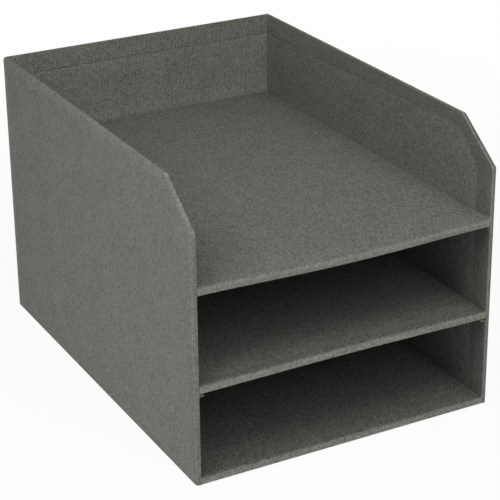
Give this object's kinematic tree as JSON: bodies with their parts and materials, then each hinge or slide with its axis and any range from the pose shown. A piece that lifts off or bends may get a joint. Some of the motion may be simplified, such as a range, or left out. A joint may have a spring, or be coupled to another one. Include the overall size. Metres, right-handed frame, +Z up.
{
  "type": "desk letter tray",
  "caption": "Desk letter tray of cloth-covered board: open tiers for paper between fixed shelves, closed sides and back, open front, slanted front top corners.",
  "frame": {"origin": "middle of the underside, on the surface that the tray stands on", "axes": "+Z up, +Y from the open front to the back wall, +X to the right as seen from the front"},
  "size_m": [0.24, 0.329, 0.216],
  "materials": {
    "grey_board": "bare solid board",
    "cover_cloth": "matt linen weave",
    "lining_cloth": "matt linen weave",
    "bottom_cloth": "matt linen weave",
    "corner_tape": "matt linen weave"
  },
  "bodies": {
    "root": {"left_side_board": "grey_board", "right_side_board": "grey_board", "back_board": "grey_board", "base_board": "grey_board", "middle_shelf_board": "grey_board", "upper_shelf_board": "grey_board", "outer_wrap": "cover_cloth", "base_front_strip": "cover_cloth", "middle_shelf_front_strip": "cover_cloth", "upper_shelf_cover": "cover_cloth", "bottom_sheet": "bottom_cloth", "left_wall_lining": "lining_cloth", "back_wall_lining": "lining_cloth", "right_wall_lining": "lining_cloth", "lower_floor_lining": "lining_cloth", "middle_floor_lining": "lining_cloth", "lower_ceiling_lining": "lining_cloth", "middle_ceiling_lining": "lining_cloth", "middle_shelf_left_tape": "corner_tape", "middle_shelf_right_tape": "corner_tape", "upper_shelf_left_tape": "corner_tape", "upper_shelf_right_tape": "corner_tape"}
  },
  "joints": []
}
